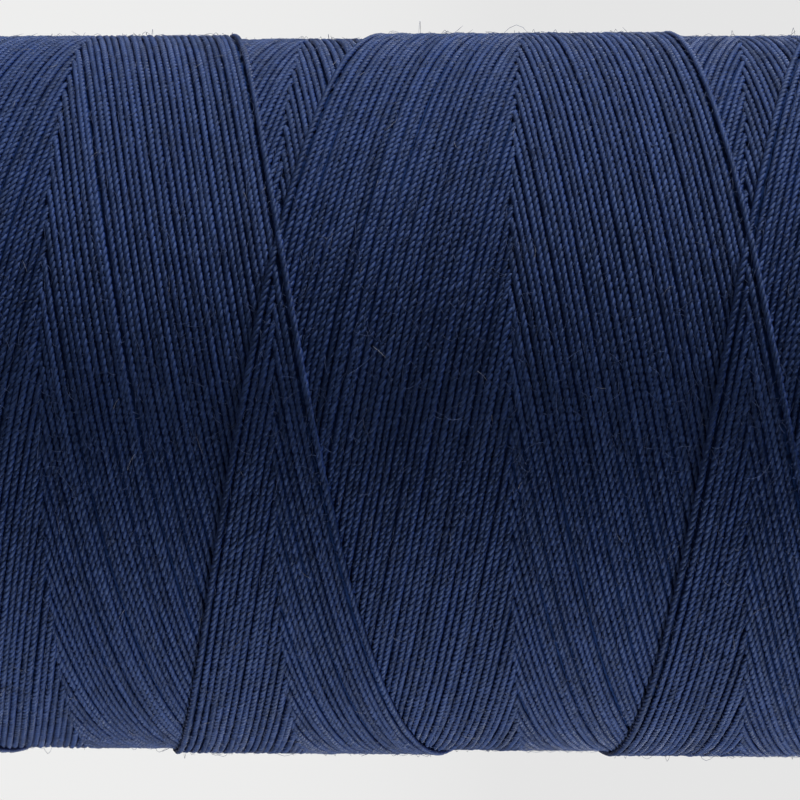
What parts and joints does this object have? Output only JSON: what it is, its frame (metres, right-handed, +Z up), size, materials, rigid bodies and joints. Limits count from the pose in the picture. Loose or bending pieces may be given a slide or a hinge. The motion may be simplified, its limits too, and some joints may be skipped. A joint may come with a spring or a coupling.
{
  "type": "spool of thread",
  "caption": "Sewing thread spool: cross-wound cotton thread on a flanged tube, with a pressed-in head and a base that slides out to lock the thread's end.",
  "frame": {"origin": "centre of the base's resting face, on the spool's axis", "axes": "+Z up the spool's axis, from the snap base to the head flange; X and Y are free"},
  "size_m": [0.03, 0.03, 0.066],
  "materials": {
    "moulding": "satin",
    "thread": "matte",
    "label_paper": "matte"
  },
  "bodies": {
    "spool": {"core_tube": "moulding", "head_cap": "moulding", "thread_package": "thread", "head_label": "label_paper"},
    "base": {"snap_base": "moulding", "base_label": "label_paper"}
  },
  "joints": [
    {"name": "base_slide", "type": "slide", "parent": "spool", "child": "base", "axis": [0, 0, -1], "range_m": [0, 0.0025]}
  ]
}
